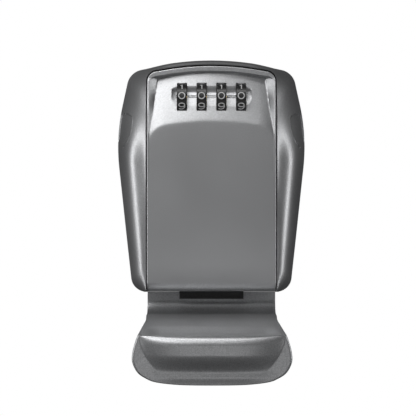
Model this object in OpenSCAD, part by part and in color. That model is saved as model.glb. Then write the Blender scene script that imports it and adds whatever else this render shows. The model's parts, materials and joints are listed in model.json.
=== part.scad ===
// Wall key safe: cast housing, bottom-hinged door with four code dials, and a hinged weather cover.
// Origin: centre of the back face, on the wall. +Z is up and the front faces -Y.

/* [Housing] */
// Height of the housing in front view
body_h = 131; // [131:1:133]
// Depth from the wall to the flat front of the door
body_d = 50; // [50:0.5:51]
// Thickness of the housing's walls
wall = 3; // [2.5:0.5:3.5]
// Across-width of the wall screw pattern
mount_w = 52; // [44:1:56]
// Height of the wall screw pattern
mount_h = 80; // [60:1:84]
// Radius of each wall screw hole
mount_r = 2.4; // [2:0.1:3]

/* [Door] */
// Half of the door's width
door_hw = 35.2; // [34.8:0.1:35.3]
// How far the sloped dial area falls back at the top
slope_back = 8; // [7:0.5:9]
// Thickness of the door's front skin
skin = 2.5; // [2:0.1:2.8]

/* [Dials] */
// Radius of a dial
dial_r = 9.4; // [9:0.1:9.5]
// Width of a dial
dial_w = 5.2; // [4.8:0.1:5.3]
// Distance between dials
dial_pitch = 10.8; // [10.7:0.1:11]
// Radius of the dial axle
axle_r = 2; // [1.8:0.1:2.2]

/* [Weather cover] */
// Thickness of the cover's plate
cover_t = 2; // [1.8:0.1:2.2]
// How far the hood stands out beyond the plate's inner face
hood_d = 22; // [20:0.5:23]
// Angle that the cover is swung open from closed
cover_open = 90; // [0:5:90]

/* [Hidden] */
$fn = 48;

half_h = body_h / 2;
floor_z = -half_h;               // lowest level of the housing
front_y = -body_d;               // flat front of the door
pin_y = front_y + 14.2;          // hinge pin shared by door and cover
pin_z = -62;
pin_r = 1.25;
run = 0.04;                      // running clearance of a pin or shaft
gap = 0.5;                       // gap between the door and the wings
door_top = 59.2;
door_floor = -64;
bend_z = 28.9;                   // where the flat front turns into the slope
slope = atan(slope_back / (door_top - bend_z));
dial_y = front_y + 8.8;
dial_z = 41.3;
dial_clear = 0.35;
back_y = front_y + 24;           // rear face of the door
plate_t = 1.5;
bar_y = back_y - 2.8;            // rear face of the latch bar
bar_t = 1.5;
tumbler_r = 3.9;
tumbler_w = 2.2;
tumbler_off = 4.2;               // from a dial's centre to its tumbler's centre
fence_off = 3;                   // fence teeth behind the dial axis
fence_hw = 0.8;
fence_y = dial_y + fence_off;
fence_z = dial_z + sqrt(pow(tumbler_r, 2) - pow(fence_off - fence_hw, 2));
leg_z = door_floor - 0.6;        // closed cover: upper face of the leg below the door
cover_y = front_y - 0.6;         // closed cover: inner face of the plate
cover_hw = 35.6;
cover_top = 56.2;
slot_hw = 17.9;                  // half width of the slot at the cover's root
bar_hw = 17.7;                   // release bar's grip in that slot: half width and lowest level
bar_low = -68.5;
barrel_r = 2.4;
spring_z0 = -54.8;
spring_z1 = -44;
spring_x = 12;

// ---- outlines -------------------------------------------------------------------------------

// Arc that rounds the corner b between a and c with radius r
function corner(a, b, c, r, n = 9) =
    let (u = (a - b) / norm(a - b), v = (c - b) / norm(c - b),
         half = acos(u * v) / 2, t = r / tan(half),
         mid = (u + v) / norm(u + v), o = b + mid * r / sin(half),
         p = b + u * t - o, q = b + v * t - o,
         a0 = atan2(p[1], p[0]), d = atan2(q[1], q[0]) - a0,
         sweep = d > 180 ? d - 360 : d < -180 ? d + 360 : d)
    [for (i = [0:n]) o + r * [cos(a0 + sweep * i / n), sin(a0 + sweep * i / n)]];

// Closed outline through corners [x, z, radius]
function rounded(v) = let (n = len(v))
    [for (i = [0:n - 1]) let (a = v[(i + n - 1) % n], b = v[i], c = v[(i + 1) % n])
        for (p = b[2] == 0 ? [[b[0], b[1]]] : corner([a[0], a[1]], [b[0], b[1]], [c[0], c[1]], b[2])) p];

// Front outline of the housing, pulled in by side and top amounts
function housing_corners(side, top) = let (z = half_h - 65.5) [
    [0, 68.6 + z - top, 158], [46.2 - side, 59 + z - top, 10], [54.2 - side, 22, 110],
    [44.4 - side * 0.75, floor_z + top * 0.3, 8], [-44.4 + side * 0.75, floor_z + top * 0.3, 8],
    [-54.2 + side, 22, 110], [-46.2 + side, 59 + z - top, 10]];

// Front outline of the door opening: half width, top level, floor level, corner radius
function door_corners(hw, top, low, r) = [
    [0, top + 2.6, 150], [hw, top - 3.4, r], [hw, low, 0], [-hw, low, 0], [-hw, top - 3.4, r]];

// A front outline made solid from y = back forward by depth
module slab(back, depth, pts)
    translate([0, back, 0]) rotate([90, 0, 0]) linear_extrude(depth) polygon(pts);

// A side profile [y, z] made solid across the width from -hw to hw
module across(hw, pts)
    translate([-hw, 0, 0]) rotate([90, 0, 90]) linear_extrude(2 * hw) polygon(pts);

module x_rod(r, x0, x1, y, z)
    translate([x0, y, z]) rotate([0, 90, 0]) cylinder(r = r, h = x1 - x0);

module y_rod(r, y0, y1, x, z)
    translate([x, y1, z]) rotate([90, 0, 0]) cylinder(r = r, h = y1 - y0);

module box(lo, hi) translate(lo) cube(hi - lo);

module both() { children(); mirror([1, 0, 0]) children(); }

function dial_x(i) = (i - 1.5) * dial_pitch;

// ---- fixed to the wall ----------------------------------------------------------------------

module rear_housing() color([0.56, 0.57, 0.59]) difference() {
    hull() {
        slab(0, 1, rounded(housing_corners(4, 3)));
        slab(-10, 14, rounded(housing_corners(0, 0)));
        slab(-36, 1, rounded(housing_corners(4, 0.8)));
        slab(-44, 1, rounded(housing_corners(10, 2.2)));
        slab(front_y + 2.4, 1, rounded(housing_corners(15.5, 4.2)));
    }
    // key compartment, and the opening that the door fills
    slab(-4, 24, rounded([[0, 61.5, 150], [43, 54, 7], [47.5, 22, 60], [40, floor_z + wall, 5],
                          [-40, floor_z + wall, 5], [-47.5, 22, 60], [-43, 54, 7]]));
    slab(-4, body_d, rounded(door_corners(door_hw + gap, door_top + 0.7, floor_z + wall, 6)));
    slab(pin_y + 6.8, body_d, rounded(door_corners(door_hw + gap, 0, floor_z - 6, 0.5)));
    // side grips: a scoop in the front of each wing
    both() translate([55.6, -40, 16]) rotate([0, 5, -38]) side_scoop();
    // wall screw holes and the hinge pin's seats
    for (x = [-1, 1], z = [-1, 1])
        y_rod(mount_r, -6, 1, x * mount_w / 2, z * mount_h / 2);
    x_rod(pin_r + run, -40.2, 40.2, pin_y, pin_z);
    // seat of the strike plate, and the pocket that the bolt enters
    box([-14, -38, 58], [14, -26, 61.6]);
    box([-9, bar_y - bar_t - 0.6, 60], [9, bar_y + 0.6, 63.6]);
    for (x = [-11.5, 11.5]) translate([x, -30, 60]) cylinder(r = 0.9, h = 3.2);
}

module side_scoop()
    intersection() {
        cylinder(r = 7, h = 90, center = true);
        box([-20, -20, -50], [20, 20, 17]);
    }

module latch_keeper() color([0.72, 0.72, 0.74]) difference() {
    box([-13.8, -37.8, 60.1], [13.8, -26.2, 61.6]);
    box([-8.6, bar_y - bar_t - 0.4, 59], [8.6, bar_y + 0.4, 62]);
    for (x = [-11.5, 11.5]) translate([x, -30, 59]) cylinder(r = 1.05, h = 4);
}

module keeper_screws() color([0.62, 0.62, 0.64])
    for (x = [-11.5, 11.5]) translate([x, -30, 0]) difference() {
        union() {
            translate([0, 0, 59.9]) cylinder(r = 0.88, h = 3.1);
            translate([0, 0, 59.5]) cylinder(r = 1.7, h = 0.6);
        }
        translate([-1.3, -0.2, 59]) cube([2.6, 0.4, 0.8]);
    }

module key_hook() color([0.7, 0.7, 0.72]) {
    y_rod(4.5, -5.4, -4, 0, 20);
    y_rod(1.3, -16, -5.3, 0, 20);
    translate([0, -16, 20]) sphere(r = 1.3);
    translate([0, -16, 20]) cylinder(r = 1.3, h = 6);
    translate([0, -16, 26]) sphere(r = 1.3);
}

module hinge_pin() color([0.7, 0.7, 0.72]) x_rod(pin_r, -40, 40, pin_y, pin_z);

// ---- door -----------------------------------------------------------------------------------

function door_profile(in) = let (r = 5.5 - in) concat(
    [for (i = [0:8]) let (a = 180 + 90 * i / 8)
        [front_y + in + r + r * cos(a), door_floor + in + r + r * sin(a)]],
    [[front_y + 7.5, door_floor + in], [front_y + 7.5, -57.5 + in], [back_y, -57.5 + in],
     [back_y, door_top + 9], [front_y + in + slope_back * 1.3, door_top + 9],
     [front_y + in + slope_back * 1.3, bend_z + (door_top - bend_z) * 1.3],
     [front_y + in, bend_z]]);

module door_shell() color([0.66, 0.67, 0.69]) difference() {
    union() {
        difference() {
            intersection() {
                across(door_hw, door_profile(0));
                slab(0, 80, rounded(door_corners(door_hw, door_top, -70, 5.5)));
            }
            intersection() {
                across(door_hw - skin, door_profile(skin));
                slab(1, 80, rounded(door_corners(door_hw - skin, door_top - skin, -59.5, 3)));
            }
            dial_windows();
        }
        // hinge knuckles
        both() {
            x_rod(barrel_r, 27.5, 34.8, pin_y, pin_z);
            box([27.5, pin_y - 2.1, pin_z], [34.8, pin_y + 2.1, -56]);
        }
        // bosses for the back plate's screws
        for (x = [-30, 30], z = [-50, 22]) y_rod(3, front_y + 1, back_y - plate_t, x, z);
    }
    // seat of the back plate
    slab(back_y + 1, plate_t + 1, rounded(door_corners(door_hw - 1.2, door_top - 1.2, -56.2, 4)));
    x_rod(pin_r + run, -36, 36, pin_y, pin_z);
    for (x = [-30, 30], z = [-50, 22]) y_rod(1, back_y - 9, back_y, x, z);
    // bolt slot in the top, release bar's slot in the floor
    box([-8.5, bar_y - bar_t - 0.4, door_top - 6], [8.5, bar_y + 0.4, door_top + 3]);
    box([-18.1, pin_y - 5.6, -65], [18.1, pin_y - 1.6, -52]);
    // pockets behind the slope for the tumblers and the lock frame
    for (i = [0:3]) x_rod(tumbler_r + 0.4, dial_x(i), dial_x(i) + tumbler_off + tumbler_w / 2 + 0.3, dial_y, dial_z);
    both() box([25.3, dial_y - 3.3, dial_z - 12.4], [27.7, dial_y + 1, dial_z + 3.8]);
}

module dial_windows()
    for (i = [0:3])
        x_rod(dial_r + dial_clear, dial_x(i) - dial_w / 2 - 0.3, dial_x(i) + dial_w / 2 + 0.3,
              dial_y, dial_z);

module door_back_plate() color([0.42, 0.43, 0.45]) difference() {
    slab(back_y, plate_t, rounded(door_corners(door_hw - 1.3, door_top - 1.3, -56.1, 3.9)));
    for (x = [-30, 30], z = [-50, 22]) y_rod(1.25, back_y - 2, back_y + 1, x, z);
    y_rod(2.5 + run, back_y - 2, back_y + 1, 22, 8);
}

module back_plate_screws() color([0.62, 0.62, 0.64])
    for (x = [-30, 30], z = [-50, 22]) difference() {
        union() {
            y_rod(0.96, back_y - 8, back_y + 0.1, x, z);
            y_rod(2.1, back_y + 0.02, back_y + 1.2, x, z);
        }
        box([x - 1.4, back_y + 0.7, z - 0.25], [x + 1.4, back_y + 2, z + 0.25]);
        box([x - 0.25, back_y + 0.7, z - 1.4], [x + 0.25, back_y + 2, z + 1.4]);
    }

module lock_frame() color([0.6, 0.6, 0.62]) difference() {
    union() {
        both() box([25.6, dial_y - 3, dial_z - 12], [27.4, bar_y - bar_t - 0.3, dial_z + 3.5]);
        box([-27.4, bar_y - bar_t - 2.2, 25], [27.4, bar_y - bar_t - 0.3, 30]);
    }
    x_rod(axle_r + run, -28, 28, dial_y, dial_z);
}

module dial_axle() color([0.75, 0.75, 0.77]) x_rod(axle_r, -28.4, 28.4, dial_y, dial_z);

module detent_spring() color([0.8, 0.8, 0.8]) {
    box([-24, front_y + 2.7, 20.4], [24, front_y + 3.3, 24.6]);
    for (i = [0:3]) translate([dial_x(i), 0, 0])
        across(1.6, [[front_y + 2.7, 24.4], [front_y + 3.3, 24.4], [dial_y - 3.2, dial_z - 11.1],
                     [dial_y + 1, dial_z - 10.2], [dial_y + 1, dial_z - 9.8], [dial_y - 3.4, dial_z - 10.5]]);
}

// A round wire wound into an open helix
module coil(r, wire, h, turns, seg = 14, sides = 8) {
    n = turns * seg;
    pts = [for (k = [0:n]) let (a = 360 * k / seg) for (j = [0:sides - 1])
        let (b = 360 * j / sides, q = r + wire * cos(b))
        [q * cos(a), q * sin(a), wire + (h - 2 * wire) * k / n + wire * sin(b)]];
    polyhedron(pts, concat(
        [[for (j = [0:sides - 1]) j]], [[for (j = [sides - 1:-1:0]) n * sides + j]],
        [for (k = [0:n - 1], j = [0:sides - 1]) let (j2 = (j + 1) % sides)
            [k * sides + j, (k + 1) * sides + j, (k + 1) * sides + j2, k * sides + j2]]));
}

module latch_springs() color([0.78, 0.78, 0.8])
    for (x = [-spring_x, spring_x])
        translate([x, bar_y - 3.4, spring_z0]) coil(1.35, 0.3, spring_z1 - spring_z0, 6);

// ---- latch bar ------------------------------------------------------------------------------

module latch_bar() color([0.7, 0.71, 0.73]) {
    y0 = bar_y - bar_t;
    difference() {
        union() {
            box([-8, y0, 50], [8, bar_y, door_top - 0.3]);
            box([-23, y0, -40], [23, bar_y, 51.6]);
            box([-15.5, y0, -52.2], [15.5, bar_y, -40]);
        }
        box([-14, y0 - 1, -30], [14, bar_y + 1, 16]);
        y_rod(3.2, y0 - 1, bar_y + 1, 22, 8);
    }
    // ledge that the springs push against, and the arm to the release bar
    box([-15.5, y0 - 4, spring_z1], [15.5, y0 + 0.1, spring_z1 + 1.5]);
    box([-8.5, pin_y - 3, -52.2], [8.5, y0 + 0.1, -50.6]);
    // fence: one prong and tooth over each tumbler
    for (i = [0:3]) translate([dial_x(i) + tumbler_off, 0, 0]) {
        box([-0.8, fence_y - fence_hw, fence_z + 3.4], [0.8, y0 + 0.1, fence_z + 5.6]);
        box([-0.8, fence_y - fence_hw, fence_z + 0.5], [0.8, fence_y + fence_hw, fence_z + 3.5]);
    }
}

module release_bar() color([0.05, 0.05, 0.055]) {
    y0 = pin_y - 5.2;
    y1 = pin_y - 2;
    grip_y = pin_y - 3.7;
    difference() {
        union() {
            box([-17.3, y0, -63.6], [17.3, y1, -53]);
            box([-bar_hw, grip_y, bar_low], [bar_hw, y1, -63.5]);
            box([-8.5, y0, -53.1], [8.5, y1, -52.2]);
        }
        // grip grooves along the lower edge
        for (i = [-7:7]) x_rod(0.4, i * 2.2 - 0.6, i * 2.2 + 0.6, grip_y, -67.2);
        for (x = [-5, 5]) translate([x, pin_y - 3.6, -60]) cylinder(r = 0.75, h = 9);
    }
}

module release_screws() color([0.62, 0.62, 0.64])
    for (x = [-5, 5]) translate([x, pin_y - 3.6, 0]) {
        translate([0, 0, -59]) cylinder(r = 0.72, h = 6.7);
    }

// ---- dials ----------------------------------------------------------------------------------

module dial(i) color([0.03, 0.03, 0.03]) translate([dial_x(i), dial_y, dial_z])
    difference() {
        x_rod(dial_r, -dial_w / 2, dial_w / 2, 0, 0);
        x_rod(axle_r + run, -dial_w, dial_w, 0, 0);
        for (k = [0:9]) rotate([36 * k + 8, 0, 0]) both()
            translate([dial_w / 2 + 0.35, 0, dial_r + 0.3]) sphere(r = 1.1);
    }

module tumbler(i) color([0.76, 0.62, 0.32])
    translate([dial_x(i) + tumbler_off, dial_y, dial_z]) difference() {
        union() {
            x_rod(tumbler_r, -tumbler_w / 2, tumbler_w / 2, 0, 0);
            x_rod(3.4, -tumbler_off + dial_w / 2, 0, 0, 0);
        }
        x_rod(axle_r + run, -6, 6, 0, 0);
        // gate that the fence drops into
        box([-3, fence_off - fence_hw - 0.2, 0.9], [3, 9, 9]);
    }

// ---- code change lever ----------------------------------------------------------------------

module reset_lever() color([0.08, 0.08, 0.085]) {
    y_rod(4.2, back_y + 0.3, back_y + 1.8, 22, 8);
    box([20.4, back_y + 0.3, -4], [23.6, back_y + 1.8, 8]);
    y_rod(1.6, back_y + 0.3, back_y + 3.4, 22, -3.4);
}

module reset_pivot() color([0.7, 0.7, 0.72]) {
    y_rod(2.5, back_y - 2.6, back_y + 0.3, 22, 8);
}

// ---- weather cover --------------------------------------------------------------------------

// Cross-section of the hood, pulled in by t, as [x, y] corners with radii; s scales its depth
function hood_section(t, s) = let (d = hood_d * s) [
    [34.4 - t, cover_y, 0], [37 - t, cover_y - d * 0.42, 7 * s], [33 - t, cover_y - d * 0.86, 4 * s],
    [22 - t, cover_y - d + t, 8 * s], [-22 + t, cover_y - d + t, 8 * s],
    [-33 + t, cover_y - d * 0.86, 4 * s], [-37 + t, cover_y - d * 0.42, 7 * s], [-34.4 + t, cover_y, 0]];

module hood_slice(z, h, t, s)
    translate([0, 0, z]) linear_extrude(h) polygon(rounded(hood_section(t, s)));

module cover_closed() {
    difference() {
        union() {
            // leg below the door, main plate, and the bend between them
            box([-cover_hw, cover_y - cover_t, leg_z - cover_t], [cover_hw, pin_y - 3, leg_z]);
            box([-cover_hw, cover_y - cover_t, leg_z - cover_t], [cover_hw, cover_y, 12]);
            across(cover_hw, concat([[cover_y, leg_z]], [for (i = [0:6]) let (a = 15 * i)
                [cover_y + 3.4 - 3.4 * cos(a), leg_z + 3.4 - 3.4 * sin(a)]]));
            both() {
                x_rod(barrel_r, 20, 27, pin_y, pin_z);
                box([20, pin_y - 4, leg_z - cover_t], [27, pin_y + barrel_r, pin_z]);
            }
            hull() {
                hood_slice(8, 1, 0, 0.14);
                hood_slice(30, 1, 0, 0.9);
                hood_slice(38, cover_top - 38, 0, 1);
            }
            // finger grip on the hood's end
            hull() {
                translate([0, 0, cover_top - 1]) linear_extrude(1) polygon(rounded(
                    [[31, cover_y - 0.4, 3], [23.5, cover_y - 17, 4], [-23.5, cover_y - 17, 4],
                     [-31, cover_y - 0.4, 3]]));
                translate([0, 0, cover_top + 3]) linear_extrude(1.5) polygon(rounded(
                    [[27, cover_y - 1.6, 2.5], [22, cover_y - 10, 3], [-22, cover_y - 10, 3],
                     [-27, cover_y - 1.6, 2.5]]));
            }
        }
        hull() {
            hood_slice(14.5, 1, 2.4, 0.2);
            hood_slice(32, 1, 2.4, 0.88);
            hood_slice(40, cover_top - 43, 2.4, 1);
        }
        // keep the inside open towards the door, and clear the release bar
        across(31, [[cover_y + 1, 14], [cover_y + 1, cover_top - 3], [cover_y - 4.5, cover_top - 3],
                    [cover_y - 4.5, 28], [cover_y - 1.95, 14]]);
        box([-slot_hw, pin_y - 7, leg_z - 5], [slot_hw, pin_y + 4, leg_z + 5]);
        x_rod(pin_r + run, -30, 30, pin_y, pin_z);
    }
}

// Swings what is drawn closed to where the cover stands open
module opened() translate([0, pin_y, pin_z]) rotate([cover_open, 0, 0]) translate([0, -pin_y, -pin_z]) children();

module weather_cover() color([0.6, 0.61, 0.63]) opened() cover_closed();

// Dished plate that closes the hood's hollow and leaves room for the dials
module cover_liner() color([0.58, 0.59, 0.61]) opened()
    across(30.9, [[cover_y - 0.05, 14.1], [cover_y - 2, 30], [cover_y - 2, cover_top - 3.1],
                  [cover_y - 3.8, cover_top - 3.1], [cover_y - 3.8, 28], [cover_y - 1.9, 14.1]]);

rear_housing();
latch_keeper();
keeper_screws();
key_hook();
hinge_pin();
door_shell();
door_back_plate();
back_plate_screws();
lock_frame();
dial_axle();
detent_spring();
latch_springs();
latch_bar();
release_bar();
release_screws();
dial(0);  // dial_1
dial(1);  // dial_2
dial(2);  // dial_3
dial(3);  // dial_4
tumbler(0);  // tumbler_1
tumbler(1);  // tumbler_2
tumbler(2);  // tumbler_3
tumbler(3);  // tumbler_4
reset_lever();
reset_pivot();
weather_cover();
cover_liner();
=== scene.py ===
import json
import math

import bmesh
import bpy
import numpy as np
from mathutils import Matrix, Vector

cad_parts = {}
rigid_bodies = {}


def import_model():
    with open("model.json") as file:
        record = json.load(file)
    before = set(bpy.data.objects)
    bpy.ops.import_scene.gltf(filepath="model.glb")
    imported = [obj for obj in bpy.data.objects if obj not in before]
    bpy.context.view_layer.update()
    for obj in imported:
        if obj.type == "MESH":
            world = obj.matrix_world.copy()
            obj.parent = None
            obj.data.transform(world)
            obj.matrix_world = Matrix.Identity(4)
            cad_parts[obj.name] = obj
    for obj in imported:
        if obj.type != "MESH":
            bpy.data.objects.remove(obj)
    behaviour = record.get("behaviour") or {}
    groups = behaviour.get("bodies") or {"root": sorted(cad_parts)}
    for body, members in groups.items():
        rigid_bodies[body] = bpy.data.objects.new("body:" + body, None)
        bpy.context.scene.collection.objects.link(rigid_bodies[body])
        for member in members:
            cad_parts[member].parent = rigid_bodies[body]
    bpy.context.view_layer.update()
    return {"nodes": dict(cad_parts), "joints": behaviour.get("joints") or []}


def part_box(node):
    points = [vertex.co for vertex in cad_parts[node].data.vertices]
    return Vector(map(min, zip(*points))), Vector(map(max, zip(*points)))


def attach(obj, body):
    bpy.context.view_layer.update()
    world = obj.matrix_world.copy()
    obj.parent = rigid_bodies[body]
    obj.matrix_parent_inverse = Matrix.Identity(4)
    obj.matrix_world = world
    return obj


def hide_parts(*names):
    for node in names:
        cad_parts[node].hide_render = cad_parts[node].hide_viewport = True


# Wall key safe: cast housing, door with sloped dial area, weather cover swung open.
# Lengths are in millimetres until they reach a mesh; x is right, y is into the wall, z is up.

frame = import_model()

MM = 0.001


# ---- sizes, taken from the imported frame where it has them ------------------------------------

def node_box(node):
    lo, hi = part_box(node)
    return np.array(lo) / MM, np.array(hi) / MM


PIN = np.array(next(j for j in frame["joints"] if j["name"] == "cover_hinge")["pos_m"]) / MM
PIN_Y, PIN_Z = PIN[1], PIN[2]                # the pin that door and cover share
HOUSING_HI = node_box("rear_housing")[1]
DOOR_LO, DOOR_HI = node_box("door_shell")
LATCH_LO, LATCH_HI = node_box("latch_bar")
DIAL_BOXES = [node_box(f"dial_{i}") for i in range(1, 5)]

HALF_H = HOUSING_HI[2]                       # the housing's top, above the origin
FLOOR_Z = -HALF_H                            # its underside
FRONT_Y = DOOR_LO[1]                         # flat front of the door
BACK_Y = DOOR_HI[1]                          # rear face of the door
DOOR_HW = DOOR_HI[0]                         # half width
DOOR_TOP = 59.2
DOOR_FLOOR = -64.0
BEND_Z = 28.9                                # the flat front turns into the slope here
SLOPE = 8.0 / (DOOR_TOP - BEND_Z)            # how fast the slope leans back
GAP = 0.5                                    # groove between door and housing
WALL = 3.0                                   # housing wall
BACK_EDGE = 1.2                              # round at the housing's back
WIDE_FROM, WIDE_TO = -14, -22                # the housing is widest between these depths
WING_RINGS, WING_START, WING_POWER = 56, 0.02, 1.5
WINDOW_GAP = 0.22                            # beside each dial
SCOOP_TOP, SCOOP_H = 34.6, 20                # grip scoop: upper edge and height
SCOOP_PART, SCOOP_WIDEST = 0.5, 0.3          # part of the wing it covers, where it is widest
DIAL_R = (DIAL_BOXES[0][1][2] - DIAL_BOXES[0][0][2]) / 2
DIAL_W = DIAL_BOXES[0][1][0] - DIAL_BOXES[0][0][0]
DIAL_Y = (DIAL_BOXES[0][0][1] + DIAL_BOXES[0][1][1]) / 2
DIAL_Z = (DIAL_BOXES[0][0][2] + DIAL_BOXES[0][1][2]) / 2
DIAL_X = [(b[0][0] + b[1][0]) / 2 for b in DIAL_BOXES]
COVER_Y = FRONT_Y - 0.6                      # closed cover: inner face of the plate
COVER_T = 2.0                                # thickness of its plate
COVER_HW = 35.6                              # half width of its plate
COVER_END = 56.2                             # closed cover: level of the hood's end
LEG_Z = DOOR_FLOOR - 0.6                     # closed cover: upper face of its leg
HOOD_D = 23.2                                # how far the hood stands out
BORE_R = 1.3                                 # hinge bores


# ---- mesh helpers ----------------------------------------------------------------------------

def add_mesh(name, points, faces, material, body=None, shaded_smooth=True):
    """A new object from points in millimetres, welded, with its faces turned outwards."""
    mesh = bpy.data.meshes.new(name)
    mesh.from_pydata([tuple(float(c) * MM for c in p) for p in points], [], faces)
    mesh.update()
    bm = bmesh.new()
    bm.from_mesh(mesh)
    bmesh.ops.remove_doubles(bm, verts=bm.verts, dist=1e-6)
    bmesh.ops.dissolve_degenerate(bm, edges=bm.edges, dist=1e-7)
    bmesh.ops.recalc_face_normals(bm, faces=bm.faces)
    bm.to_mesh(mesh)
    bm.free()
    obj = bpy.data.objects.new(name, mesh)
    bpy.context.scene.collection.objects.link(obj)
    mesh.materials.append(material)
    if shaded_smooth:
        smooth_by_angle(obj, 35)
    if body:
        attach(obj, body)
    return obj


def smooth_by_angle(obj, angle):
    mesh = obj.data
    mesh.shade_smooth()
    mesh.set_sharp_from_angle(angle=math.radians(angle))


def apply_modifiers(obj):
    graph = bpy.context.evaluated_depsgraph_get()
    mesh = bpy.data.meshes.new_from_object(obj.evaluated_get(graph))
    obj.modifiers.clear()
    obj.data = mesh


def cut(obj, cutters):
    """Takes the cutters out of obj, one after another, and applies it."""
    for cutter in cutters:
        m = obj.modifiers.new("cut", "BOOLEAN")
        m.operation = "DIFFERENCE"
        m.solver = "EXACT"
        m.object = cutter
    bpy.context.view_layer.update()
    apply_modifiers(obj)
    for cutter in cutters:
        bpy.data.objects.remove(cutter)


def cutter_box(lo, hi, bevel=0.0):
    """A box cutter from corner lo to corner hi."""
    bm = bmesh.new()
    bmesh.ops.create_cube(bm, size=1.0)
    for v in bm.verts:
        for k in range(3):
            v.co[k] = (lo[k] + (v.co[k] + 0.5) * (hi[k] - lo[k])) * MM
    if bevel:
        bmesh.ops.bevel(bm, geom=bm.edges[:], offset=bevel * MM, segments=4, profile=0.5, affect="EDGES")
    return cutter_object(bm)


def cutter_rod(radius, start, end, segments=48):
    """A round cutter from start to end."""
    bm = bmesh.new()
    a, b = Vector(start) * MM, Vector(end) * MM
    turn = (b - a).to_track_quat("Z", "Y").to_matrix().to_4x4()
    bmesh.ops.create_cone(bm, cap_ends=True, segments=segments, radius1=radius * MM, radius2=radius * MM,
                          depth=(b - a).length)
    turn.translation = (a + b) / 2
    bmesh.ops.transform(bm, matrix=turn, verts=bm.verts)
    return cutter_object(bm)


def cutter_object(bm):
    mesh = bpy.data.meshes.new("cutter")
    bm.to_mesh(mesh)
    bm.free()
    obj = bpy.data.objects.new("cutter", mesh)
    bpy.context.scene.collection.objects.link(obj)
    return obj


def loft(rings):
    """Points and faces through rings of equal length, each a closed loop, with both ends closed."""
    n = len(rings[0])
    points = np.concatenate(rings)
    faces = []
    for k in range(len(rings) - 1):
        for i in range(n):
            j = (i + 1) % n
            faces.append((k * n + i, k * n + j, (k + 1) * n + j, (k + 1) * n + i))
    faces.append(tuple(range(n - 1, -1, -1)))
    faces.append(tuple((len(rings) - 1) * n + i for i in range(n)))
    return points, faces


# ---- outlines --------------------------------------------------------------------------------

def rounded(corners, steps=14):
    """Closed outline through corners (x, z, radius), with arcs at the corners."""
    out = []
    n = len(corners)
    for i, (x, z, r) in enumerate(corners):
        b = np.array([x, z])
        if r == 0:
            out.append(b)
            continue
        a = np.array(corners[i - 1][:2])
        c = np.array(corners[(i + 1) % n][:2])
        u = (a - b) / np.linalg.norm(a - b)
        v = (c - b) / np.linalg.norm(c - b)
        half = math.acos(float(np.clip(u @ v, -1, 1))) / 2
        t = r / math.tan(half)
        centre = b + (u + v) / np.linalg.norm(u + v) * r / math.sin(half)
        p, q = b + u * t - centre, b + v * t - centre
        a0 = math.atan2(p[1], p[0])
        sweep = (math.atan2(q[1], q[0]) - a0 + math.pi) % (2 * math.pi) - math.pi
        out += [centre + r * np.array([math.cos(a0 + sweep * k / steps), math.sin(a0 + sweep * k / steps)])
                for k in range(steps + 1)]
    return np.array(out)


def by_angle(outline, angles):
    """The same outline with one point at each angle round the origin."""
    theta = np.unwrap(np.arctan2(outline[:, 1], outline[:, 0]))
    if theta[-1] < theta[0]:
        outline, theta = outline[::-1], theta[::-1]
    closed = np.vstack([outline, outline[:1]])
    out = []
    for angle in angles:
        d = np.array([math.cos(angle), math.sin(angle)])
        side = closed @ np.array([-d[1], d[0]])
        ahead = closed @ d
        crossing = np.where((side[:-1] * side[1:] <= 0) & (ahead[:-1] + ahead[1:] > 0))[0]
        best = 0.0
        for k in crossing:
            s = side[k] / (side[k] - side[k + 1]) if side[k] != side[k + 1] else 0.0
            best = max(best, ahead[k] + s * (ahead[k + 1] - ahead[k]))
        out.append(d * best)
    return np.array(out)


def housing_corners(side, top):
    """The housing's outline, drawn in by side and by top."""
    shift = HALF_H - 65.5
    right = [(46.2 - side, 59 + shift - top, 10), (54.2 - side, 22, 110),
             (44.4 - side * 0.75, FLOOR_Z + top * 0.3, 8)]
    left = [(-x, z, r) for x, z, r in right[::-1]]
    return [(0, 68.6 + shift - top, 158)] + right + left


def door_corners(hw, top, low, r):
    return [(0, top + 2.6, 150), (hw, top - 3.4, r), (hw, low, 0), (-hw, low, 0), (-hw, top - 3.4, r)]


def smooth(x, lo, hi):
    """0 at lo, 1 at hi, with a smooth run between."""
    t = np.clip((np.asarray(x, float) - lo) / (hi - lo), 0, 1)
    return t * t * (3 - 2 * t)


# ---- materials -------------------------------------------------------------------------------

def new_material(name):
    material = bpy.data.materials.new(name)
    material.use_nodes = True
    nodes = material.node_tree.nodes
    return material, nodes, material.node_tree.links, nodes["Principled BSDF"]


def noise(nodes, links, scale, detail):
    coords = nodes.new("ShaderNodeTexCoord")
    tex = nodes.new("ShaderNodeTexNoise")
    tex.inputs["Scale"].default_value = scale
    tex.inputs["Detail"].default_value = detail
    links.new(coords.outputs["Object"], tex.inputs["Vector"])
    return tex.outputs["Fac"]


def ramp(nodes, links, value, stops):
    node = nodes.new("ShaderNodeValToRGB")
    node.color_ramp.elements[0].position = stops[0][0]
    node.color_ramp.elements[0].color = (*stops[0][1], 1)
    node.color_ramp.elements[1].position = stops[-1][0]
    node.color_ramp.elements[1].color = (*stops[-1][1], 1)
    for position, color in stops[1:-1]:
        node.color_ramp.elements.new(position).color = (*color, 1)
    links.new(value, node.inputs["Fac"])
    return node.outputs["Color"]


def bump(nodes, links, height, strength, distance, normal=None):
    node = nodes.new("ShaderNodeBump")
    node.inputs["Strength"].default_value = strength
    node.inputs["Distance"].default_value = distance
    links.new(height, node.inputs["Height"])
    if normal is not None:
        links.new(normal, node.inputs["Normal"])
    return node.outputs["Normal"]


def spread(nodes, links, value, low, high):
    """The same value as a grey between low and high, over the noise's usual range."""
    return ramp(nodes, links, value, [(0.3, (low,) * 3), (0.7, (high,) * 3)])


def grey(v):
    return (v, v * 1.005, v * 1.015)


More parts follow.
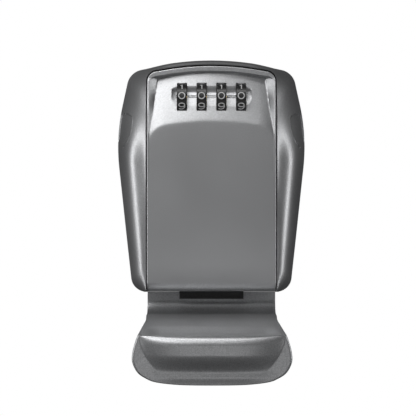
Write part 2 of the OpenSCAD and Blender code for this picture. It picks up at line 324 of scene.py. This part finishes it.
def metallic_paint(name, tone, rough, grain=0.05):
    """Grey paint with fine metal flake and soft orange peel."""
    material, nodes, links, shader = new_material(name)
    shader.inputs["Metallic"].default_value = 0.86
    shader.inputs["Coat Weight"].default_value = 0.12
    shader.inputs["Coat Roughness"].default_value = 0.25
    flake = noise(nodes, links, 2600, 2.0)
    cloud = noise(nodes, links, 22, 4.0)
    flake_tone = ramp(nodes, links, flake, [(0.32, grey(tone * 0.78)), (0.68, grey(tone * 1.22))])
    cloud_tone = ramp(nodes, links, cloud, [(0.3, grey(0.96)), (0.7, grey(1.0))])
    mix = nodes.new("ShaderNodeMix")
    mix.data_type = "RGBA"
    mix.blend_type = "MULTIPLY"
    mix.inputs["Factor"].default_value = 1.0
    links.new(flake_tone, mix.inputs[6])
    links.new(cloud_tone, mix.inputs[7])
    links.new(mix.outputs[2], shader.inputs["Base Color"])
    links.new(spread(nodes, links, cloud, rough - 0.025, rough + 0.025), shader.inputs["Roughness"])
    peel = bump(nodes, links, noise(nodes, links, 700, 2.0), grain, 0.0002)
    links.new(bump(nodes, links, flake, grain * 1.6, 0.00008, peel), shader.inputs["Normal"])
    return material


def plated_steel(name, tone=0.6, rough=0.3):
    """Zinc-plated steel, faintly streaked."""
    material, nodes, links, shader = new_material(name)
    shader.inputs["Metallic"].default_value = 1.0
    streak = noise(nodes, links, 240, 5.0)
    links.new(ramp(nodes, links, streak, [(0.3, grey(tone * 0.85)), (0.7, grey(tone * 1.1))]),
              shader.inputs["Base Color"])
    links.new(spread(nodes, links, noise(nodes, links, 60, 4.0), rough - 0.07, rough + 0.09),
              shader.inputs["Roughness"])
    links.new(bump(nodes, links, streak, 0.12, 0.0001), shader.inputs["Normal"])
    return material


def machined_brass(name):
    material, nodes, links, shader = new_material(name)
    shader.inputs["Metallic"].default_value = 1.0
    tint = noise(nodes, links, 300, 4.0)
    links.new(ramp(nodes, links, tint, [(0.3, (0.60, 0.42, 0.16)), (0.7, (0.78, 0.58, 0.26))]),
              shader.inputs["Base Color"])
    links.new(spread(nodes, links, noise(nodes, links, 90, 4.0), 0.24, 0.36), shader.inputs["Roughness"])
    links.new(bump(nodes, links, tint, 0.1, 0.0001), shader.inputs["Normal"])
    return material


def plastic(name, tone, rough, grain):
    material, nodes, links, shader = new_material(name)
    shader.inputs["Specular IOR Level"].default_value = 0.45
    speck = noise(nodes, links, 1500, 3.0)
    links.new(ramp(nodes, links, speck, [(0.3, grey(tone * 0.8)), (0.7, grey(tone * 1.2))]),
              shader.inputs["Base Color"])
    links.new(spread(nodes, links, noise(nodes, links, 120, 3.0), rough - 0.05, rough + 0.06),
              shader.inputs["Roughness"])
    links.new(bump(nodes, links, speck, grain, 0.0001), shader.inputs["Normal"])
    return material


HOUSING_PAINT = metallic_paint("housing_paint", 0.42, rough=0.42)
DOOR_PAINT = metallic_paint("door_paint", 0.44, rough=0.42)
COVER_PAINT = metallic_paint("cover_paint", 0.44, rough=0.42, grain=0.10)
INNER_PAINT = metallic_paint("inner_paint", 0.2, rough=0.45)
STEEL = plated_steel("plated_steel")
BRASS = machined_brass("machined_brass")
BLACK = plastic("black_plastic", 0.018, 0.5, 0.1)
DIAL_BLACK = plastic("dial_black", 0.010, 0.32, 0.05)
DIGIT_WHITE = plastic("digit_white", 0.5, 0.5, 0.05)

CAD_MATERIALS = {
    STEEL: ["latch_keeper", "keeper_screws", "key_hook", "hinge_pin", "back_plate_screws", "lock_frame",
            "dial_axle", "detent_spring", "latch_springs", "latch_bar", "release_screws", "reset_pivot"],
    INNER_PAINT: ["door_back_plate"],
    BLACK: ["release_bar", "reset_lever"],
    DIAL_BLACK: [f"dial_{i}" for i in range(1, 5)],
    BRASS: [f"tumbler_{i}" for i in range(1, 5)],
    HOUSING_PAINT: ["rear_housing"],
    DOOR_PAINT: ["door_shell"],
    COVER_PAINT: ["weather_cover", "cover_liner"],
}


def paint_cad_nodes():
    """Gives every carried-over node its material."""
    for material, names in CAD_MATERIALS.items():
        for name in names:
            node = frame["nodes"][name]
            for part in [node, *node.children_recursive]:
                if part.type == "MESH":
                    part.data.materials.clear()
                    part.data.materials.append(material)


# ---- rear housing ----------------------------------------------------------------------------

def scoop_taper(v):
    """How the scoop narrows above and below its widest level; v runs from 0 at its top to 1."""
    upper = (np.clip(SCOOP_WIDEST - v, 0, None) / SCOOP_WIDEST) ** 2.6
    lower = (np.clip(v - SCOOP_WIDEST, 0, None) / (1 - SCOOP_WIDEST)) ** 2
    return upper + lower


def scoop_depth(x, z, f):
    """How far the grip scoop presses the wing in, at fraction f from its outer edge to the groove."""
    v = (SCOOP_TOP - z) / SCOOP_H
    inside = 1 - np.abs(f / SCOOP_PART) ** 2.4 - scoop_taper(v)
    return 0.6 * smooth(inside, 0, 0.10) * (1 - smooth(v, 0.45, 0.95)) * (np.abs(x) > 20)


def rim_drop(z):
    """How far the rims of door and housing lean back beside and above the dial area."""
    s = SLOPE * (np.minimum(z, 53) - BEND_Z) - 1.9
    return 0.5 * (s + np.sqrt(s * s + 0.5)) * (z > 20)


def scoop_line(rings, first, side):
    """Cutter for the fine groove round the grip scoop: a thin tube lying on the wing's rings."""
    path = []
    for v in np.linspace(0.004, 0.96, 44):
        u = max(1 - scoop_taper(v), 0) ** (1 / 2.4)
        z = SCOOP_TOP - SCOOP_H * v
        # the two wing rings on either side of this point
        k = max(SCOOP_PART * u, 0.004) ** (1 / WING_POWER)
        at = (k - WING_START) / (1 - WING_START) * (WING_RINGS - 1)
        lo = int(np.clip(math.floor(at), 0, WING_RINGS - 2))
        mix = min(max(at - lo, 0), 1)
        ring = rings[first + lo] * (1 - mix) + rings[first + lo + 1] * mix
        part = ring[(ring[:, 0] * side > 20) & (np.abs(ring[:, 2] - z) < 3)]
        part = part[np.argsort(part[:, 2])]
        path.append((np.interp(z, part[:, 2], part[:, 0]), np.interp(z, part[:, 2], part[:, 1]), z))
    path = np.array(path)
    tube = []
    turns = np.linspace(0, 2 * math.pi, 8, endpoint=False)
    for i, p in enumerate(path):
        along = path[min(i + 1, len(path) - 1)] - path[max(i - 1, 0)]
        along /= np.linalg.norm(along)
        across = np.cross(along, (side * 0.7, -0.7, 0))
        across /= np.linalg.norm(across)
        up = np.cross(across, along)
        tube.append(np.array([p + 0.5 * (math.cos(a) * across + math.sin(a) * up) for a in turns]))
    points, faces = loft(tube)
    return add_mesh("cutter_scoop", points, faces, HOUSING_PAINT)


def build_housing():
    angles = np.linspace(math.pi / 2, math.pi / 2 + 2 * math.pi, 640, endpoint=False)
    widest = by_angle(rounded(housing_corners(0, 0)), angles)
    foot = by_angle(rounded(housing_corners(3.6, 2.6)), angles)
    opening = by_angle(rounded(door_corners(DOOR_HW + GAP, DOOR_TOP + 0.7, FLOOR_Z + WALL, 6)), angles)
    inside = by_angle(rounded([(0, 61.5, 150), (43, 54, 7), (47.5, 22, 60), (40, FLOOR_Z + WALL, 5),
                               (-40, FLOOR_Z + WALL, 5), (-47.5, 22, 60), (-43, 54, 7)]), angles)
    rim_y = FRONT_Y + 0.6 + rim_drop(opening[:, 1])
    rings = []

    def ring(xz, y):
        rings.append(np.column_stack([xz[:, 0], np.broadcast_to(y, len(xz)), xz[:, 1]]))

    # back face and its rounded edge
    ring(foot * 0.02, 0.0)
    for k in np.linspace(0.2, 0.98, 6):
        ring(foot * k, 0.0)
    for a in np.linspace(0, 90, 6):
        t = math.radians(a)
        ring(foot * (0.985 + 0.015 * math.sin(t)), -BACK_EDGE * (1 - math.cos(t)))
    # sides, out to the widest outline
    for k in np.linspace(0.1, 1, 10):
        ring(foot + (widest - foot) * math.sin(k * math.pi / 2), -BACK_EDGE + (WIDE_FROM + BACK_EDGE) * k)
    for k in np.linspace(0.2, 1, 5):
        ring(widest, WIDE_FROM + (WIDE_TO - WIDE_FROM) * k)
    # wings, from the widest outline in to the groove round the door
    power = 2.15
    first = len(rings)
    for k in np.linspace(WING_START, 1, WING_RINGS):
        f = k ** WING_POWER
        xz = widest + (opening - widest) * f * 0.985
        # a plain round low down, a steeper shoulder higher up, an even bevel beside the dials
        round_off = (1 - (1 - f) ** power) ** (1 / power)
        shoulder = 3.2 * (f ** 3 - 2 * f ** 2 + f) + 3 * f ** 2 - 2 * f ** 3 + 0.47 * (f ** 3 - f ** 2)
        high = smooth(xz[:, 1], -42, 22)
        top = smooth(xz[:, 1], 6, 34) * smooth(np.abs(xz[:, 0]), 22, 38)
        bevel = 1.8 * f - 1.15 * f ** 2 + 0.35 * f ** 3
        rise = round_off * (1 - high) + (shoulder * (1 - top) + bevel * top) * high
        y = WIDE_TO + (rim_y - WIDE_TO) * rise
        press = scoop_depth(xz[:, 0], xz[:, 1], f)
        away = math.cos(k * math.pi / 2)
        xz[:, 0] -= np.sign(xz[:, 0]) * press * away
        ring(xz, y + press * (1 - away) * 1.2)
    # rim, the wall behind it and the key compartment
    for a in np.linspace(15, 90, 6):
        t = math.radians(a)
        ring(widest + (opening - widest) * (0.985 + 0.015 * math.sin(t)), rim_y + 0.5 * (1 - math.cos(t)))
    for k in np.linspace(0.06, 1, 8):
        ring(opening, rim_y + 0.5 + k * (-28 - rim_y - 0.5))
    for k in np.linspace(0.3, 1, 4):
        ring(opening + (inside - opening) * k, -28)
    for y in np.linspace(-27, -5, 6):
        ring(inside, y)
    for k in (0.99, 0.97, 0.6, 0.3, 0.02):
        ring(inside * k, -4)
    points, faces = loft(rings)
    housing = add_mesh("housing_body", points, faces, HOUSING_PAINT)
    # open bottom for door and cover, wall screw holes, keeper pocket, hinge pin bore, scoop grooves
    cutters = [cutter_box((-DOOR_HW - GAP, -70, -80), (DOOR_HW + GAP, PIN_Y + 6.8, -59))]
    for x in (-26, 26):
        for z in (-40, 40):
            cutters.append(cutter_rod(2.4, (x, -8, z), (x, 2, z), 40))
    cutters.append(cutter_box((-14, -38, 58), (14, -24, LATCH_HI[2] + 3.4)))
    cutters.append(cutter_rod(BORE_R - 0.01, (-40.2, PIN_Y, PIN_Z), (40.2, PIN_Y, PIN_Z), 24))
    cutters += [scoop_line(rings, first, -1), scoop_line(rings, first, 1)]
    cut(housing, cutters)
    smooth_by_angle(housing, 30)
    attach(housing, "housing")
    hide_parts("rear_housing")


# ---- door ------------------------------------------------------------------------------------

def door_front(x, z, top):
    """Depth of the door's front face at x, z, where top is the outline's top at x."""
    # flat panel: a box with an arched top and round upper corners
    radius = 9.5
    arch = BEND_Z + 0.4 - x * x / 300
    dx = np.maximum(np.abs(x) - (DOOR_HW - radius - 0.3), 0)
    dz = np.maximum(z - (arch - radius), 0)
    outside = np.hypot(dx, dz) - radius
    slope = SLOPE * 0.5 * (outside + np.sqrt(outside * outside + 0.9)) * (outside > -6)
    plain = np.where(z > 0, slope * (1 + (x / 70) ** 2), 0)
    # shallow trough across the dials: a short wall above, a long ramp below, round ends
    past = np.clip((np.abs(x) - 17.6) / 4.3, 0, 1)
    wall = smooth(z, 48.9 - 1.6 * past ** 2, 45.1)
    ramp = np.clip((z - 37.2 - 3.4 * past ** 2) / 7.6, 0, 1) ** 1.2
    sunk = plain + 1.6 * np.minimum(wall, ramp) * np.sqrt(1 - past ** 2)
    for line in (43.3, 42.4):
        sunk = sunk + 0.22 * np.exp(-((z - line) / 0.17) ** 2) * (np.abs(x) < 19.4)
    # the dial area is sunk into the door, with a narrow rim round it
    rim = np.minimum(rim_drop(z), plain)
    side_wall = np.maximum(DOOR_HW - 0.9 - np.abs(x), 0) * (1.3 - 0.5 * smooth(z, 34, 56))
    top_wall = np.maximum(top - 2.6 - z, 0) * 3.0
    limit = rim + np.minimum(side_wall, top_wall)
    blend = np.clip(0.5 - np.abs(sunk - limit) / 1.2, 0, None) ** 2 * 0.4
    y = FRONT_Y + np.maximum(np.minimum(sunk, limit) - blend, rim)
    # rounded edge all round
    edge = 0.6
    away = np.minimum(DOOR_HW - np.abs(x), np.minimum(top - z, z - DOOR_FLOOR))
    d = np.clip(edge - away, 0, edge)
    y = y + edge - np.sqrt(edge * edge - d * d)
    # larger round at the foot
    foot = 5.5
    d = np.clip(foot - (z - DOOR_FLOOR), 0, foot)
    return y + foot - np.sqrt(np.maximum(foot * foot - d * d, 0))


def door_outline_top(x):
    """Level of the door's upper edge at x."""
    outline = rounded(door_corners(DOOR_HW, DOOR_TOP, DOOR_FLOOR, 5.5), 24)
    upper = outline[outline[:, 1] > 40]
    order = np.lexsort((upper[:, 1] * np.sign(upper[:, 0]), upper[:, 0]))
    return np.interp(x, upper[order, 0], upper[order, 1])


def edge_spaced(lo, hi, n, edge, near):
    """Values from lo to hi, dense within edge of both ends."""
    dense = edge * (1 - np.cos(np.linspace(0, math.pi / 2, near)))
    return np.concatenate([lo + dense, np.linspace(lo + edge, hi - edge, n)[1:-1], (hi - dense)[::-1]])


def build_door():
    """Front casting: a grid of points on the front face, with straight walls back to the rear face."""
    xs = edge_spaced(-DOOR_HW, DOOR_HW, 210, 6.0, 22)
    vs = np.concatenate([np.linspace(0, 0.06, 22)[:-1], np.linspace(0.06, 0.70, 90)[:-1],
                         np.linspace(0.70, 0.985, 190)[:-1], np.linspace(0.985, 1, 16)])
    tops = door_outline_top(xs)
    grid_x = np.broadcast_to(xs[None, :], (len(vs), len(xs)))
    grid_z = DOOR_FLOOR + vs[:, None] * (tops[None, :] - DOOR_FLOOR)
    grid_y = door_front(grid_x, grid_z, np.broadcast_to(tops[None, :], grid_x.shape))
    rows, cols = grid_x.shape
    front = np.stack([grid_x, grid_y, grid_z], axis=-1).reshape(-1, 3)
    back = front.copy()
    back[:, 1] = BACK_Y
    points = np.concatenate([front, back])
    faces = []
    n = rows * cols
    for r in range(rows - 1):
        for c in range(cols - 1):
            a = r * cols + c
            faces.append((a, a + 1, a + cols + 1, a + cols))
            faces.append((n + a, n + a + cols, n + a + cols + 1, n + a + 1))
    border = ([c for c in range(cols)]
              + [r * cols + cols - 1 for r in range(1, rows)]
              + [(rows - 1) * cols + c for c in range(cols - 2, -1, -1)]
              + [r * cols for r in range(rows - 2, 0, -1)])
    for k, a in enumerate(border):
        b = border[(k + 1) % len(border)]
        faces.append((a, n + a, n + b, b))
    door = add_mesh("door_front", points, faces, DOOR_PAINT)
    skin = 2.5
    cutters = [
        # hollow for the lock works, open at the back
        cutter_box((-DOOR_HW + skin, FRONT_Y + skin + 0.2, -55), (DOOR_HW - skin, BACK_Y + 2, BEND_Z)),
        cutter_box((-DOOR_HW + skin, FRONT_Y + 10.8, BEND_Z - 1), (DOOR_HW - skin, BACK_Y + 2, DOOR_TOP - 7)),
        # step under the floor that clears the hinge
        cutter_box((-DOOR_HW - 2, FRONT_Y + 7.5, -70), (DOOR_HW + 2, BACK_Y + 2, -57.5)),
        # way through the floor for the release bar's stem
        cutter_box((-17.7, PIN_Y - 5.6, -60), (17.7, PIN_Y - 1.6, -50)),
        # pocket and exit for the latch bar, with room for its travel
        cutter_box((LATCH_LO[0] - 0.5, LATCH_LO[1] - 0.2, 40), (LATCH_HI[0] + 0.5, BACK_Y + 2, 55.2)),
        cutter_box((-8.5, BACK_Y - 4.9, DOOR_TOP - 9), (8.5, BACK_Y - 2.3, DOOR_TOP + 3)),
    ]
    # windows of the dials, a little above the axle as the slope looks upwards
    half, centre = DIAL_W / 2 + WINDOW_GAP, DIAL_Z + 1.45
    for x in DIAL_X:
        cutters.append(cutter_box((x - half, FRONT_Y - 3, centre - 7.95),
                                  (x + half, FRONT_Y + 14, centre + 7.75), 0.45))
    cut(door, cutters)
    smooth_by_angle(door, 30)
    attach(door, "door")
    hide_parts("door_shell")
    for side in (-1, 1):
        build_knuckle(side)


def build_knuckle(side):
    """Door hinge knuckle: a barrel on a web."""
    r, web_z = 2.4, -56.6
    turns = np.linspace(math.radians(-180), 0, 19)
    outline = ([(PIN_Y - r, web_z)] + [(PIN_Y + r * math.cos(a), PIN_Z + r * math.sin(a)) for a in turns]
               + [(PIN_Y + r, web_z)])
    name = "knuckle_right" if side > 0 else "knuckle_left"
    knuckle = hinge_ear(name, outline, np.array([PIN_Y, PIN_Z + 1.2]), side * 27.5, side * 34.8, 0.94, DOOR_PAINT)
    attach(knuckle, "door")


def hinge_ear(name, outline, mid, x0, x1, end_scale, material, turn=None):
    """Ear from x0 to x1, drilled for the pin: an outline (y, z) whose ends are drawn in towards mid."""
    side = math.copysign(1, x1 - x0)
    outline = np.array(outline)
    rings = []
    for x, k in ((x0, end_scale), (x0 + side * 0.15, 1.0), (x1 - side * 0.15, 1.0), (x1, end_scale)):
        rings.append(np.column_stack([np.full(len(outline), x), mid + (outline - mid) * k]))
    points, faces = loft(rings)
    ear = add_mesh(name, turn(points) if turn else points, faces, material)
    cut(ear, [cutter_rod(BORE_R, (x0 - side, PIN_Y, PIN_Z), (x1 + side, PIN_Y, PIN_Z), 32)])
    smooth_by_angle(ear, 30)
    return ear


# ---- weather cover ---------------------------------------------------------------------------

# half of the hood's cross-section: half width against how far it stands out, 0 to 1
HOOD_HALF = [(34.3, 0), (35.5, 0.14), (36.7, 0.34), (36.8, 0.54), (34.4, 0.745), (30.4, 0.866), (25.6, 0.94),
             (15, 0.99), (0, 1.0)]
INNER_STEPS = 60                             # points across the cover's inner side


def curve_through(knots, n):
    """Smooth curve (Catmull-Rom) through knots, n points a span, mirrored in x past the last knot."""
    before = np.array(knots[0]) * 2 - np.array(knots[1])
    after = np.array([-knots[-2][0], knots[-2][1]])
    p = [before] + [np.array(k, float) for k in knots] + [after]
    out = []
    for i in range(1, len(p) - 2):
        for t in np.linspace(0, 1, n, endpoint=False):
            a, b, c, d = p[i - 1], p[i], p[i + 1], p[i + 2]
            out.append(0.5 * (2 * b + (c - a) * t + (2 * a - 5 * b + 4 * c - d) * t * t
                              + (3 * b - a - 3 * c + d) * t ** 3))
    out.append(p[-2])
    return np.array(out)


HOOD_CURVE = curve_through(HOOD_HALF, 10)


def cover_loop(width_mix, depth, dish=0.0, narrow=0.0):
    """One closed loop (x, out) round the cover: the outer side, then the inner side.

    out is how far a point stands out from the inner face. width_mix runs from the plain plate to
    the hood's section, depth is the thickness there, dish the hollow on the inner side, and
    narrow draws the plate in."""
    # the plate's outer side: a short round edge and then flat
    edge, drawn_in = 0.25, 0.5
    s = np.linspace(0, 1, len(HOOD_CURVE))
    plate_x = np.where(s < edge, COVER_HW - drawn_in * (1 - np.cos(s / edge * math.pi / 2)) ** 2,
                       (COVER_HW - drawn_in) * (1 - (s - edge) / (1 - edge)))
    plate_out = np.where(s < edge, np.sin(s / edge * math.pi / 2), 1.0)
    plate = np.column_stack([plate_x * (1 - 0.036 * narrow), plate_out])
    mixed = plate * (1 - width_mix) + HOOD_CURVE * width_mix
    right = mixed.copy()
    right[:, 1] *= depth
    left = right[:-1][::-1].copy()
    left[:, 0] *= -1
    edge_x = right[0, 0]
    xs = np.linspace(-edge_x, edge_x, INNER_STEPS)[1:-1]
    floor = dish * smooth(np.abs(xs), 32.5, 25.0)
    inner = np.column_stack([xs, floor])
    return np.concatenate([right, left, inner])


def end_height(x, out):
    """Finger grip on the hood's end: how far the surface stands off the end at x and out."""
    # the grip's half width shrinks away from the plate
    half = 33.6 - 0.08 * out - 0.026 * out * out
    side = np.clip(1 - (np.abs(x) / half) ** 3.4, 0, 1) ** 0.8
    top = np.clip(out / 4.6, 0, 1)
    top = np.sqrt(np.maximum(1 - (1 - top) ** 2, 0))
    low = 1 - smooth(out, 8.5, 18.0)
    lip = 0.6 * smooth(out, 15.5, 20.0) * (1 - smooth(np.abs(x), 14, 33))
    return 4.6 * side * low * (0.10 + 0.90 * top) + lip * (1 - smooth(out, 19.0, HOOD_D))


def build_cover():
    """Draws the cover closed, then swings it open about the pin."""
    rings = []

    def ring(loop, place):
        rings.append(np.array([place(x, out) for x, out in loop]))

    plate = cover_loop(0, COVER_T)
    bend = 7.2
    # leg under the door, from the hinge forwards
    for y in (PIN_Y - 3.0, PIN_Y - 3.3, COVER_Y + bend + 0.3):
        ring(plate, lambda x, out, y=y: (x, y, LEG_Z - out))
    # bend
    cy, cz = COVER_Y + bend, LEG_Z + bend
    for a in np.linspace(0, 90, 17):
        t = math.radians(a)
        ring(plate, lambda x, out, t=t: (x, cy - (bend + out) * math.sin(t), cz - (bend + out) * math.cos(t)))
    # plate, flare and hood
    end_round = 1.2
    for z in np.concatenate([np.linspace(cz + 1, 6, 14), np.linspace(8, 40, 40),
                             np.linspace(41.5, COVER_END - end_round, 10)]):
        depth = COVER_T + (HOOD_D - COVER_T) * float(smooth(z, 6, 37)) ** 1.25
        dish = 1.9 * float(smooth(z, 10, 34)) * (1 - float(smooth(z, COVER_END - 9, COVER_END - 2.0)))
        loop = cover_loop(float(smooth(z, 6, 34)), depth, dish, float(smooth(z, -56, -15)))
        ring(loop, lambda x, out, z=z: (x, COVER_Y - out, z))
    # rounded edge, then the end face with the finger grip
    end = cover_loop(1, HOOD_D)
    centre = np.array([0, 8.5])
    for a in np.linspace(20, 90, 5):
        t = math.radians(a)
        loop = centre + (end - centre) * (1 - 0.03 * (1 - math.cos(t)))
        z = COVER_END - end_round + end_round * math.sin(t)
        grip = float(z >= COVER_END - 1e-6)
        ring(loop, lambda x, out, z=z, grip=grip: (x, COVER_Y - out, z + grip * end_height(x, out)))
    for k in np.concatenate([np.linspace(0.965, 0.3, 60), [0.2, 0.1, 0.01]]):
        ring(centre + (end - centre) * k, lambda x, out: (x, COVER_Y - out, COVER_END + end_height(x, out)))
    points, faces = loft(rings)
    cover = add_mesh("cover_shell", swing_open(points), faces, COVER_PAINT)
    # slot for the release bar, drawn for the closed cover and swung open with it
    slot = cutter_box((-17.9, PIN_Y - 7, LEG_Z - 6), (17.9, PIN_Y + 4, LEG_Z + 6))
    for v in slot.data.vertices:
        v.co = Vector(swing_open(np.array([v.co]) / MM)[0] * MM)
    cut(cover, [slot])
    smooth_by_angle(cover, 34)
    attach(cover, "cover")
    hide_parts("weather_cover")
    for side in (-1, 1):
        build_cover_lug(side)


def swing_open(points):
    """Turns closed-cover points a quarter turn about the pin, top towards the viewer."""
    out = np.array(points, float)
    y, z = out[:, 1] - PIN_Y, out[:, 2] - PIN_Z
    out[:, 1], out[:, 2] = PIN_Y - z, PIN_Z + y
    return out


def build_cover_lug(side):
    """Lug that joins the cover's leg to the pin."""
    r = 2.4
    turns = np.linspace(math.radians(180), math.radians(0), 17)
    outline = ([(PIN_Y - r, LEG_Z - COVER_T), (PIN_Y - r, PIN_Z - 1)]
               + [(PIN_Y + r * math.cos(a), PIN_Z + r * math.sin(a)) for a in turns]
               + [(PIN_Y + r, LEG_Z - COVER_T)])
    name = "cover_lug_right" if side > 0 else "cover_lug_left"
    lug = hinge_ear(name, outline, np.array(outline).mean(axis=0), side * 20, side * 27, 0.95, COVER_PAINT,
                    swing_open)
    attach(lug, "cover")


# ---- digits ----------------------------------------------------------------------------------

def arc(cx, cz, rx, rz, start, end, n=28):
    """Points on an ellipse about (cx, cz) from start to end, in degrees."""
    t = np.radians(np.linspace(start, end, n))
    return np.column_stack([cx + rx * np.cos(t), cz + rz * np.sin(t)])


# each digit as strokes on a 3.9 mm wide, 4 mm tall field, centred
DIGIT_STROKES = {
    0: [arc(0, 0, 1.68, 1.74, 90, 450, 48)],
    1: [np.array([(-0.75, 1.1), (-0.1, 1.35), (0.15, 1.74), (0.15, 0.6), (0.15, -0.6), (0.15, -1.74)])],
    2: [np.concatenate([arc(0, 0.75, 1.5, 1.0, 165, -25), [(0.2, -0.7), (-1.5, -1.74), (0, -1.74), (1.6, -1.74)]])],
    3: [np.concatenate([arc(0, 0.85, 1.35, 0.89, 150, -75), arc(0, -0.85, 1.5, 0.89, 75, -150)])],
    4: [np.array([(0.8, -1.74), (0.8, 0), (0.8, 1.74), (-0.5, 0.5), (-1.6, -0.7), (0, -0.7), (1.7, -0.7)])],
    5: [np.concatenate([[(1.4, 1.74), (0, 1.74), (-1.2, 1.74), (-1.35, 0.35)],
                        arc(-0.1, -0.55, 1.6, 1.19, 130, -150)])],
    6: [np.concatenate([arc(0.3, 0.0, 1.9, 1.74, 65, 180), arc(0, -0.72, 1.6, 1.02, 160, 520, 40)])],
    7: [np.array([(-1.5, 1.74), (0, 1.74), (1.5, 1.74), (0.5, 0.2), (-0.5, -1.74)])],
    8: [arc(0, 0.88, 1.3, 0.86, -90, 270, 36), arc(0, -0.87, 1.6, 0.89, 90, 450, 36)],
    9: [np.concatenate([arc(0, 0.72, 1.6, 1.02, -20, 340, 40), arc(-0.3, 0.0, 1.9, 1.74, 0, -130)])],
}


def digit_mesh(digit):
    """Raised strokes of a digit: points (x, z, proud) and faces, in mm."""
    points, faces = [], []
    for stroke in DIGIT_STROKES[digit]:
        step = np.linalg.norm(np.diff(stroke, axis=0), axis=1)
        run = np.concatenate([[0], np.cumsum(step)])
        keep = np.concatenate([[True], step > 1e-6])
        stroke, run = stroke[keep], run[keep]
        at = np.linspace(0, run[-1], max(int(run[-1] / 0.15), 8))
        line = np.column_stack([np.interp(at, run, stroke[:, 0]), np.interp(at, run, stroke[:, 1])])
        along = np.gradient(line, axis=0)
        along /= np.linalg.norm(along, axis=1)[:, None] + 1e-9
        side = np.column_stack([-along[:, 1], along[:, 0]])
        start = sum(len(p) for p in points)
        for offset, proud in ((-0.27, -0.1), (-0.27, 0.0), (-0.2, 0.035), (0.2, 0.035), (0.27, 0.0), (0.27, -0.1)):
            points.append(np.column_stack([line + side * offset, np.full(len(line), proud)]))
        n = len(line)
        for band in range(6):
            nxt = (band + 1) % 6
            for i in range(n - 1):
                a, b = start + band * n + i, start + nxt * n + i
                faces.append((a, a + 1, b + 1, b))
        faces.append(tuple(start + band * n for band in range(6)))
        faces.append(tuple(start + band * n + n - 1 for band in range(5, -1, -1)))
    return np.concatenate(points), faces


def build_digits():
    """Ten digits round each dial, 0 in the window's middle."""
    shapes = [digit_mesh(d) for d in range(10)]
    reading = math.radians(10)               # the window's middle, above the axle
    for i, x in enumerate(DIAL_X):
        points, faces = [], []
        for d, (p, f) in enumerate(shapes):
            start = sum(len(q) for q in points)
            angle = reading + math.radians(36 * d) + p[:, 1] / DIAL_R
            radius = DIAL_R + p[:, 2]
            points.append(np.column_stack([x + p[:, 0], DIAL_Y - radius * np.cos(angle),
                                           DIAL_Z + radius * np.sin(angle)]))
            faces += [[v + start for v in t] for t in f]
        obj = add_mesh(f"digits_{i + 1}", np.concatenate(points), faces, DIGIT_WHITE,
                       f"code_wheel_{i + 1}", shaded_smooth=False)


# ---- stage, light, camera --------------------------------------------------------------------

def area_light(name, place, aim, size, power):
    data = bpy.data.lights.new(name, "AREA")
    data.shape = "RECTANGLE"
    data.size, data.size_y = size
    data.energy = power
    obj = bpy.data.objects.new(name, data)
    obj.location = place
    obj.rotation_euler = (Vector(aim) - Vector(place)).to_track_quat("-Z", "Y").to_euler()
    bpy.context.scene.collection.objects.link(obj)
    return obj


def build_stage():
    """White surround for the camera; what the object reflects is darker, and lighter from below."""
    bpy.context.scene.view_settings.view_transform = "Standard"
    world = bpy.data.worlds.new("studio")
    world.use_nodes = True
    bpy.context.scene.world = world
    nodes, links = world.node_tree.nodes, world.node_tree.links
    room = nodes["Background"]
    coords = nodes.new("ShaderNodeTexCoord")
    split = nodes.new("ShaderNodeSeparateXYZ")
    links.new(coords.outputs["Generated"], split.inputs["Vector"])
    level = nodes.new("ShaderNodeMapRange")
    level.inputs["From Min"].default_value = -1
    links.new(split.outputs["Z"], level.inputs["Value"])
    tones = [(0.0, grey(0.13)), (0.44, grey(0.13)), (0.53, grey(0.05)), (1.0, grey(0.07))]
    links.new(ramp(nodes, links, level.outputs["Result"], tones), room.inputs["Color"])
    behind = nodes.new("ShaderNodeMapRange")
    behind.inputs["From Min"].default_value = -0.5
    behind.inputs["From Max"].default_value = 0.3
    behind.inputs["To Min"].default_value = 1.0
    behind.inputs["To Max"].default_value = 0.22
    links.new(split.outputs["Y"], behind.inputs["Value"])
    links.new(behind.outputs["Result"], room.inputs["Strength"])
    seen = nodes.new("ShaderNodeBackground")
    seen.inputs["Color"].default_value = (1, 1, 1, 1)
    path = nodes.new("ShaderNodeLightPath")
    mix = nodes.new("ShaderNodeMixShader")
    links.new(path.outputs["Is Camera Ray"], mix.inputs["Fac"])
    links.new(room.outputs["Background"], mix.inputs[1])
    links.new(seen.outputs["Background"], mix.inputs[2])
    links.new(mix.outputs["Shader"], nodes["World Output"].inputs["Surface"])


def build_lights():
    mid = (0, -0.03, 0)
    area_light("softbox_top_left", (-0.34, -0.70, 0.50), (0, -0.03, 0.0), (0.62, 0.36), 3.2)
    area_light("top_strip", (-0.12, -0.34, 0.62), (0, -0.08, -0.05), (0.5, 0.16), 1.7)
    area_light("strip_left", (-0.70, -0.20, 0.06), mid, (0.24, 0.6), 1.9)
    area_light("strip_right", (0.70, -0.20, 0.06), mid, (0.20, 0.6), 1.5)
    area_light("front_fill", (0.0, -0.86, -0.22), (0, -0.05, -0.06), (0.34, 0.09), 0.24)


def build_camera():
    """Level camera in front of the housing; it takes in view_width at the plane the distance is to."""
    distance, view_width = 0.694, 0.2352
    data = bpy.data.cameras.new("camera")
    data.sensor_width = 36
    data.lens = data.sensor_width * distance / view_width
    camera = bpy.data.objects.new("camera", data)
    camera.location = (-0.0019, -0.024 - distance, -0.01826)
    camera.rotation_euler = (math.radians(90), 0, 0)
    bpy.context.scene.collection.objects.link(camera)
    bpy.context.scene.camera = camera


build_camera()
build_stage()
build_lights()
paint_cad_nodes()
build_housing()
build_door()
build_cover()
build_digits()
